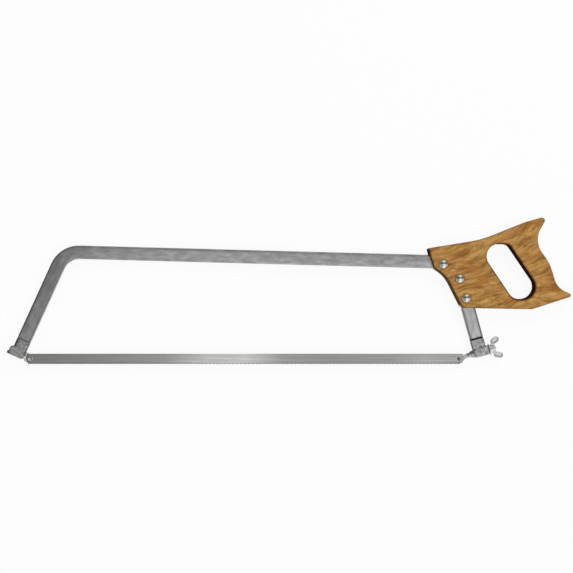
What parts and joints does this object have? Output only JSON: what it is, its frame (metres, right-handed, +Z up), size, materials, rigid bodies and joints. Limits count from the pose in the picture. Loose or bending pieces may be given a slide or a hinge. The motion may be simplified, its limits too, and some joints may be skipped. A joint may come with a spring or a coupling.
{
  "type": "butcher saw",
  "caption": "Bow-framed butcher saw: bent rectangular steel tube, toothed blade held on pins and strained by a wing nut, and a bolted hardwood handle with a hand slot.",
  "frame": {"origin": "middle of the underside of the whole saw, which lies on the back of its handle", "axes": "+X along the blade from the front of the saw to its handle, +Y from the blade to the spine of the frame, +Z up out of the table, through the side with the bolts' domed heads"},
  "size_m": [0.7328, 0.191, 0.0263],
  "materials": {
    "hardwood": "oiled, satin",
    "plated_tube": "dull plated",
    "casting": "as cast, plated",
    "forged_steel": "satin",
    "blade_steel": "ground",
    "zinc": "bright zinc plate",
    "chrome": "polished"
  },
  "bodies": {
    "frame": {"frame_tube": "plated_tube", "handle": "hardwood", "handle_bolt_1": "chrome", "handle_bolt_2": "chrome", "handle_bolt_3": "chrome", "handle_nut_1": "chrome", "handle_nut_2": "chrome", "handle_nut_3": "chrome", "front_casting": "casting", "front_hook": "forged_steel", "front_blade_pin": "forged_steel", "rear_casting": "casting", "wing_nut_washer": "zinc"},
    "wing_nut": {"wing_nut": "zinc"},
    "tension_stud": {"tension_stud": "zinc", "rear_blade_pin": "forged_steel"},
    "blade": {"blade": "blade_steel"}
  },
  "joints": [
    {"name": "wing_nut_turn", "type": "hinge", "parent": "frame", "child": "wing_nut", "pos_m": [0.2504, -0.07958, 0.011], "axis": [0.9641, 0.2656, 0], "range_deg": [0, 540]},
    {"name": "stud_slide", "type": "slide", "parent": "frame", "child": "tension_stud", "axis": [-0.9641, -0.2656, 0], "range_m": [0, 0.00191]},
    {"name": "blade_lift_off", "type": "slide", "parent": "frame", "child": "blade", "axis": [0, 0, 1], "range_m": [0, 0.012]}
  ],
  "couplings": [
    {"joint": "stud_slide", "follows": "wing_nut_turn", "m_per_rad": 0.00020213}
  ]
}
